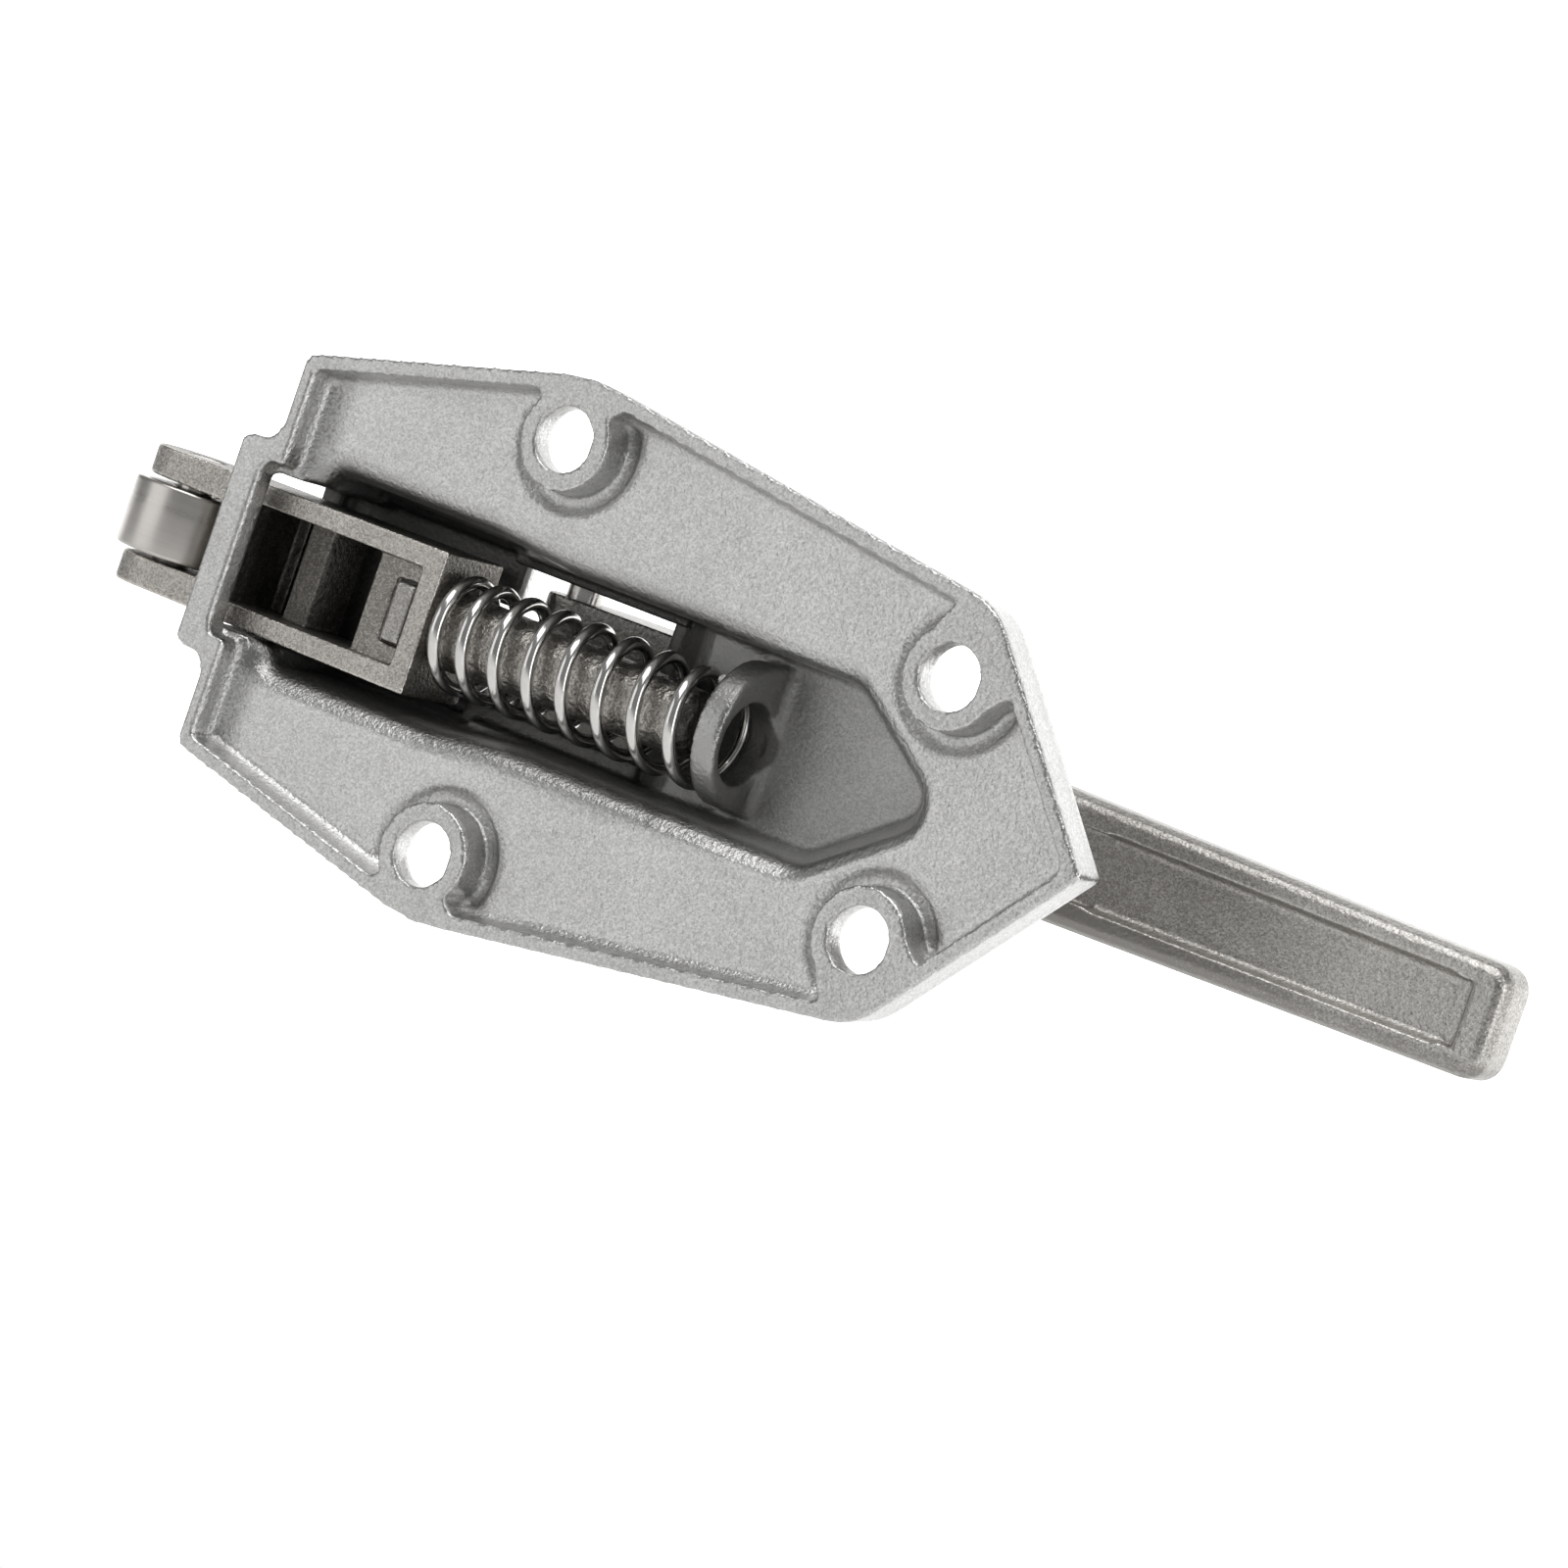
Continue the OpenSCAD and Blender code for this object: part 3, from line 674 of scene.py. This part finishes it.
def rounded_casting(node, look, material, add=None, cut=None, worn=None):
    """A copy of a CAD node with every edge rounded as a casting's is, most of all where worn says"""
    weld = 0.002 * MM
    worn_rounds = 70
    mesh = frame["nodes"][node].data.copy()
    welded = bmesh.new()
    welded.from_mesh(mesh)
    bmesh.ops.remove_doubles(welded, verts=welded.verts, dist=weld)
    if add:
        add(welded)
    welded.to_mesh(mesh)
    welded.free()
    piece = shown(node + "_cast", mesh, material)
    if cut:
        carved(piece, cut, material)
    cells = piece.modifiers.new("cells", "REMESH")
    cells.mode = "VOXEL"
    cells.voxel_size = look.grain * 1
    cells.use_smooth_shade = True
    smoothed(piece, look.rounds)
    mesh = settled(piece)
    if worn:
        group = piece.vertex_groups.new(name="worn")
        group.add([v.index for v in mesh.vertices if worn(*(c / MM for c in v.co))], 1.0, "REPLACE")
        smoothed(piece, worn_rounds, "worn")
        mesh = settled(piece)
    faces = sum(len(p.vertices) - 2 for p in mesh.polygons)
    if faces > FACE_LIMIT:
        thin = piece.modifiers.new("thin", "DECIMATE")
        thin.ratio = FACE_LIMIT / faces
        mesh = settled(piece)
    mesh.materials.clear()
    mesh.materials.append(material)
    mesh.shade_smooth()
    mark_bends(mesh)
    return piece


def arc_corner(spot, before, after, size, steps=4):
    """Points that round one corner of a profile"""
    spot, before, after = Vector(spot), Vector(before), Vector(after)
    to, on = (before - spot).normalized(), (after - spot).normalized()
    first, last = spot + to * size, spot + on * size
    points = []
    for i in range(steps + 1):
        t = i / steps
        points.append((1 - t) ** 2 * first + 2 * t * (1 - t) * spot + t ** 2 * last)
    return points


def lathed(name, profile, centre, sides, material, loop=False):
    """A solid turned about Z through centre, from (radius, height) points that run upwards outside"""
    on_axis = 1e-7
    sharp = math.radians(32)
    work = bmesh.new()
    rings = []
    for radius, height in profile:
        angles = [0] if radius < on_axis else [2 * math.pi * i / sides for i in range(sides)]
        rings.append([work.verts.new((centre[0] + radius * math.cos(angle),
                                      centre[1] + radius * math.sin(angle),
                                      centre[2] + height)) for angle in angles])
    pairs = list(zip(rings, rings[1:])) + ([(rings[-1], rings[0])] if loop else [])
    for low, high in pairs:
        for i in range(sides):
            j = (i + 1) % sides
            corners = [low[i % len(low)], low[j % len(low)], high[j % len(high)], high[i % len(high)]]
            corners = list(dict.fromkeys(corners))
            if len(corners) > 2:
                work.faces.new(corners)
    bmesh.ops.recalc_face_normals(work, faces=work.faces)
    mesh = bpy.data.meshes.new(name)
    work.to_mesh(mesh)
    work.free()
    piece = shown(name, mesh, material)
    mesh.shade_smooth()
    mesh.set_sharp_from_angle(angle=sharp)
    return piece


def rounded_profile(corners, size, loop=False):
    """The corners of a profile, each rounded unless it lies on the axis"""
    points = []
    last = len(corners) - 1
    for i, (radius, height) in enumerate(corners):
        if not loop and i in (0, last):
            points.append((radius, height))
            continue
        points += [tuple(p) for p in arc_corner((radius, height), corners[i - 1],
                                                corners[(i + 1) % len(corners)], size)]
    return points


# The spring's nodes

def spring_tree():
    """A wire along a helix whose ends lie closed; its sizes are the tree's inputs"""
    tree = bpy.data.node_groups.new("coil_spring", "GeometryNodeTree")
    face = tree.interface
    for name, kind in (("Turns", "NodeSocketFloat"), ("Mean Radius", "NodeSocketFloat"),
                       ("Wire Radius", "NodeSocketFloat"), ("Start", "NodeSocketFloat"),
                       ("Reach", "NodeSocketFloat"), ("Depth", "NodeSocketFloat"),
                       ("Drop", "NodeSocketFloat"), ("Points", "NodeSocketInt"),
                       ("Wire Sides", "NodeSocketInt"), ("Metal", "NodeSocketMaterial")):
        face.new_socket(name=name, in_out="INPUT", socket_type=kind)
    face.new_socket(name="Spring", in_out="OUTPUT", socket_type="NodeSocketGeometry")
    nodes, links = tree.nodes, tree.links
    given = nodes.new("NodeGroupInput").outputs

    def add(kind, settings=None, sockets=None):
        made = nodes.new(kind)
        for key, value in (settings or {}).items():
            setattr(made, key, value)
        for key, value in (sockets or {}).items():
            if isinstance(value, bpy.types.NodeSocket):
                links.new(value, made.inputs[key])
            else:
                made.inputs[key].default_value = value
        return made

    def maths(operation, *values):
        return add("ShaderNodeMath", {"operation": operation}, dict(enumerate(values))).outputs[0]

    line = add("GeometryNodeCurvePrimitiveLine", None, {"Start": (0, 0, 0), "End": (1, 0, 0)})
    path = add("GeometryNodeResampleCurve", None, {"Curve": line.outputs[0], "Count": given["Points"]})
    along = add("GeometryNodeSplineParameter").outputs["Factor"]
    climb = add("ShaderNodeFloatCurve", None, {"Value": along})
    curve = climb.mapping.curves[0]
    # Share of the wire against share of the reach: the coils lie closer at both ends
    for spot in ((0.06, 0.033), (0.18, 0.139), (0.3, 0.264), (0.54, 0.525), (0.78, 0.799), (0.904, 0.943),
                 (0.96, 0.996)):
        curve.points.new(*spot)
    for point in curve.points:
        point.handle_type = "VECTOR"
    climb.mapping.update()
    turned = maths("MULTIPLY", maths("MULTIPLY", along, given["Turns"]), -2 * math.pi)
    angle = maths("ADD", turned, math.pi)
    x = maths("ADD", maths("MULTIPLY", climb.outputs[0], given["Reach"]), given["Start"])
    across = maths("MULTIPLY", maths("COSINE", angle), given["Mean Radius"])
    y = maths("SUBTRACT", given["Depth"], across)
    z = maths("SUBTRACT", maths("MULTIPLY", maths("SINE", angle), given["Mean Radius"]), given["Drop"])
    spot = add("ShaderNodeCombineXYZ", None, {0: x, 1: y, 2: z})
    helix = add("GeometryNodeSetPosition", None, {"Geometry": path.outputs[0], "Position": spot.outputs[0]})
    ring = add("GeometryNodeCurvePrimitiveCircle", None,
               {"Resolution": given["Wire Sides"], "Radius": given["Wire Radius"]})
    wire = add("GeometryNodeCurveToMesh", None,
               {"Curve": helix.outputs[0], "Profile Curve": ring.outputs[0], "Fill Caps": True})
    plain = add("GeometryNodeRealizeInstances", None, {"Geometry": wire.outputs[0]})
    dressed = add("GeometryNodeSetMaterial", None, {"Geometry": plain.outputs[0], "Material": given["Metal"]})
    out = nodes.new("NodeGroupOutput")
    links.new(dressed.outputs[0], out.inputs[0])
    return tree


# Operators

class LATCH_OT_housing(Operator):
    """Dresses the cast housing"""
    bl_idname = "latch.housing"
    bl_label = "Housing"

    def execute(self, context):
        look = context.scene.latch.housing
        # All in mm: the floor behind the lug, the ledges beside the slot, the flash and the lip
        lug_back = 23.3
        floor = 14.0
        floor_drop = 0.6
        close = 0.02
        ledge_reach = (-11.4, 11.4)
        ledge_depth = (15.8, 16.4)
        ledge_sides = ((-9.6, -7.0), (7.9, 9.6))
        flash = ((26.3, 26.9), (14.25, 15.5), (-8.0, 6.8))
        lip_reach = (-31.5, 22.8)
        lip_depth = (2.5, 7.0)
        lip_side = (7.6, 13.0)

        def add(work):
            # The floor behind the lug, let down to the bore
            for vert in work.verts:
                if vert.co.x > lug_back * MM and abs(vert.co.y - floor * MM) < close * MM:
                    vert.co.y += floor_drop * MM
            # The lug's bore, drawn in to the stem, and a ledge along each side of the slot
            add_collar(work, COLLAR_X, COLLAR_Y, COLLAR_Z, COLLAR_INNER, COLLAR_OUTER)
            for side in ledge_sides:
                add_slab(work, ledge_reach, ledge_depth, side)
            # The line of flash where the lug's face meets the floor
            add_slab(work, *flash)

        def lip(x, y, z):
            # The lip of the channel, clear of the bosses and of the lug
            spans = ((x, lip_reach), (y, lip_depth), (abs(z), lip_side))
            return all(low < place < high for place, (low, high) in spans)

        piece = rounded_casting("housing", look, housing_skin(look), add, worn=lip)
        mark_inner(piece.data)
        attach(piece, "body")
        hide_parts("housing")
        return {"FINISHED"}


class LATCH_OT_handle(Operator):
    """Dresses the cast handle"""
    bl_idname = "latch.handle"
    bl_label = "Handle"

    def execute(self, context):
        look = context.scene.latch.handle
        # Two blocks' ends along X, Y and Z, in mm
        recess_depth = (24.0, 26.15)
        recess_start = ((46.0, 61.8), recess_depth, (-4.6, 3.2))
        recess_end = ((102.6, 104.7), recess_depth, (-4.1, 2.7))

        def cut(work):
            # The recess, carried on under the housing and a little nearer the end
            add_slab(work, *recess_start)
            add_slab(work, *recess_end)

        piece = rounded_casting("handle", look, handle_skin(look), cut=cut)
        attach(piece, "lever")
        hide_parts("handle")
        return {"FINISHED"}


class LATCH_OT_bolt(Operator):
    """Dresses the cast bolt"""
    bl_idname = "latch.bolt"
    bl_label = "Bolt"

    def execute(self, context):
        look = context.scene.latch.bolt
        # The ends of the first pocket's lip along X, Y and Z, in mm
        pocket_lip = ((-38.4, -36.6), (14.2, 15.35), (-6.4, 5.0))

        def add(work):
            # The lip that closes the first pocket toward the fork
            add_slab(work, *pocket_lip)

        piece = rounded_casting("bolt", look, bolt_skin(look), add)
        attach(piece, "bolt")
        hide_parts("bolt")
        return {"FINISHED"}


class LATCH_OT_turned(Operator):
    """Turns the roller and the two pins"""
    bl_idname = "latch.turned"
    bl_label = "Roller and pins"

    def execute(self, context):
        look = context.scene.latch.turned
        running_fit = 0.08 * MM
        pin_polish = 0.8
        pin_ring_size = 0.2

        def measured(box):
            """The middle, the half length and the radius of a round solid that lies along Z"""
            low, high = (Vector(corner) for corner in box)
            return (low + high) / 2, (high.z - low.z) / 2, (high.x - low.x) / 2

        middle, half, outer = measured(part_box("roller"))
        bore = measured(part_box("roller_pin"))[2] + running_fit
        corners = [(bore, -half), (outer, -half), (outer, half), (bore, half)]
        shape = rounded_profile(corners, look.chamfer, loop=True)
        roller = lathed("roller_turned", shape, middle, look.sides,
                        turned_skin("turned_roller", look, look.roughness), loop=True)
        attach(roller, "wheel")
        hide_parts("roller")
        for node, body in (("roller_pin", "bolt"), ("pivot_pin", "body")):
            middle, half, radius = measured(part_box(node))
            corners = [(0, -half), (radius, -half), (radius, half), (0, half)]
            shape = rounded_profile(corners, look.pin_chamfer)
            pin = lathed(node + "_turned", shape, middle, look.pin_sides,
                         turned_skin("turned_" + node, look, look.roughness * pin_polish, pin_ring_size))
            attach(pin, body)
            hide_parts(node)
        return {"FINISHED"}


class LATCH_OT_spring(Operator):
    """Winds the coil spring"""
    bl_idname = "latch.spring"
    bl_label = "Spring"

    def execute(self, context):
        look = context.scene.latch.spring
        sharp = math.radians(50)
        metal = wire_skin(look)
        tree = spring_tree()
        piece = shown("spring_wire", bpy.data.meshes.new("spring_wire"), metal)
        wind = piece.modifiers.new("wind", "NODES")
        wind.node_group = tree
        values = {"Turns": look.turns, "Mean Radius": look.mean_radius, "Wire Radius": look.wire / 2,
                  "Start": look.start, "Reach": look.reach, "Depth": look.depth, "Drop": look.drop,
                  "Points": look.points, "Wire Sides": look.sides, "Metal": metal}
        for item in tree.interface.items_tree:
            if item.in_out == "INPUT":
                wind[item.identifier] = values[item.name]
        mesh = settled(piece)
        mesh.shade_smooth()
        mesh.set_sharp_from_angle(angle=sharp)
        joint = next(j for j in frame["record"]["behaviour"]["joints"] if j["name"] == "bolt_slide")
        fixed = joint["deforming_nodes"][0]["fixed_end_x_m"]
        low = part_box("spring")[0][0]
        keep = 1 - joint["range_m"][1] / (fixed - low)
        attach(piece, "body")
        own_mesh(piece)
        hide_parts("spring")
        return {"FINISHED"}


def sheet_of(name, corners, material):
    """One flat face of the stage"""
    mesh = bpy.data.meshes.new(name)
    mesh.from_pydata(corners, [], [tuple(range(len(corners)))])
    return shown(name, mesh, material)


def soft_light(name, spot, aim, size, power):
    """A large soft light at spot that faces aim"""
    lamp = bpy.data.lights.new(name, "AREA")
    lamp.shape = "RECTANGLE"
    lamp.size, lamp.size_y = size
    lamp.energy = power
    holder = bpy.data.objects.new(name, lamp)
    holder.location = spot
    holder.rotation_euler = (Vector(aim) - Vector(spot)).to_track_quat("-Z", "Y").to_euler()
    bpy.context.scene.collection.objects.link(holder)


def stage_paint(look):
    """Pale paint that glows only well behind the latch"""
    glow_step = (60, 500)
    cloud_size = 60.0
    cloud_tone = 0.985
    finish = Finish("pale_stage")
    cloudy = tuple(c * cloud_tone for c in look.pale)
    pale = finish.mixed(finish.noise(cloud_size, 2.0), tuple(look.pale), cloudy)
    glow = finish.mixed(finish.axis("Y").between(*glow_step), (0, 0, 0), (1, 1, 1))
    return finish.surface({"Base Color": pale, "Roughness": 0.9, "Emission Color": glow,
                      "Emission Strength": look.cove})


def light_stage(scene, look):
    """The light from all round and three large soft lights"""
    world = bpy.data.worlds.new("studio")
    scene.world = world
    world.use_nodes = True
    sky = world.node_tree.nodes["Background"]
    sky.inputs["Color"].default_value = (1, 1, 1, 1)
    sky.inputs["Strength"].default_value = look.world
    # Each light's place, what it faces and its size, in m
    middle = (0.035, 0.01, 0)
    soft_light("top_light", (0.0, -0.25, 0.75), middle, (0.9, 0.6), look.key)
    soft_light("right_light", (0.80, -0.10, 0.20), middle, (0.5, 0.6), look.fill)
    soft_light("left_light", (-0.65, -0.85, 0.12), middle, (0.8, 0.9), look.fill * 0.9)


def set_camera(scene):
    """The camera, where it stood for the photograph"""
    azimuth, elevation, roll = (math.radians(a) for a in (CAMERA_AZIMUTH, CAMERA_ELEVATION, CAMERA_ROLL))
    away = Vector((math.sin(azimuth) * math.cos(elevation), -math.cos(azimuth) * math.cos(elevation),
                   math.sin(elevation)))
    level = (-away).cross(Vector((0, 0, 1))).normalized()
    upright = level.cross(-away)
    right = math.cos(roll) * level + math.sin(roll) * upright
    up = -math.sin(roll) * level + math.cos(roll) * upright
    lens = bpy.data.cameras.new("camera")
    lens.lens = CAMERA_LENS
    lens.sensor_width = CAMERA_SENSOR
    lens.clip_start = 0.05
    lens.clip_end = 30
    camera = bpy.data.objects.new("camera", lens)
    turn = Matrix((right, up, away)).transposed().to_4x4()
    spot = Vector(CAMERA_TARGET) * MM + away * CAMERA_DISTANCE * MM
    camera.matrix_world = Matrix.Translation(spot) @ turn
    scene.collection.objects.link(camera)
    scene.camera = camera


class LATCH_OT_stage(Operator):
    """Lays the floor, hangs the lights and sets the camera"""
    bl_idname = "latch.stage"
    bl_label = "Stage"

    def execute(self, context):
        look = context.scene.latch.stage
        paint = stage_paint(look)
        # The stage's reach, in m
        wide = 6.0
        far = 3.0
        floor = -0.16
        tall = 4.0
        base = sheet_of("floor", [(-wide, -wide, floor), (wide, -wide, floor), (wide, far, floor),
                                  (-wide, far, floor)], paint)
        wall = sheet_of("wall", [(-wide, far, floor), (wide, far, floor), (wide, far, tall),
                                 (-wide, far, tall)], paint)
        light_stage(context.scene, look)
        set_camera(context.scene)
        context.scene.view_settings.view_transform = "Standard"
        return {"FINISHED"}


class LATCH_PT_panel(Panel):
    """Lists the latch's pieces and their settings"""
    bl_idname = "LATCH_PT_panel"
    bl_label = "Latch"
    bl_space_type = "VIEW_3D"
    bl_region_type = "UI"
    bl_category = "Latch"

    def draw(self, context):
        settings = context.scene.latch
        groups = ((LATCH_OT_housing, settings.housing), (LATCH_OT_handle, settings.handle),
                  (LATCH_OT_bolt, settings.bolt), (LATCH_OT_turned, settings.turned),
                  (LATCH_OT_spring, settings.spring), (LATCH_OT_stage, settings.stage))
        for operator, look in groups:
            box = self.layout.box()
            for name in look.__annotations__:
                box.prop(look, name)
            box.operator(operator.bl_idname)


CLASSES = (HousingLook, HandleLook, BoltLook, TurnedLook, SpringShape, StageLook, LatchSettings,
           LATCH_OT_housing, LATCH_OT_handle, LATCH_OT_bolt, LATCH_OT_turned, LATCH_OT_spring,
           LATCH_OT_stage, LATCH_PT_panel)


def register():
    for item in CLASSES:
        bpy.utils.register_class(item)
    bpy.types.Scene.latch = PointerProperty(type=LatchSettings)


def unregister():
    del bpy.types.Scene.latch
    for item in reversed(CLASSES):
        bpy.utils.unregister_class(item)


def main():
    register()
    bpy.ops.latch.housing()
    bpy.ops.latch.handle()
    bpy.ops.latch.bolt()
    bpy.ops.latch.turned()
    bpy.ops.latch.spring()
    bpy.ops.latch.stage()


if __name__ == "__main__":
    main()
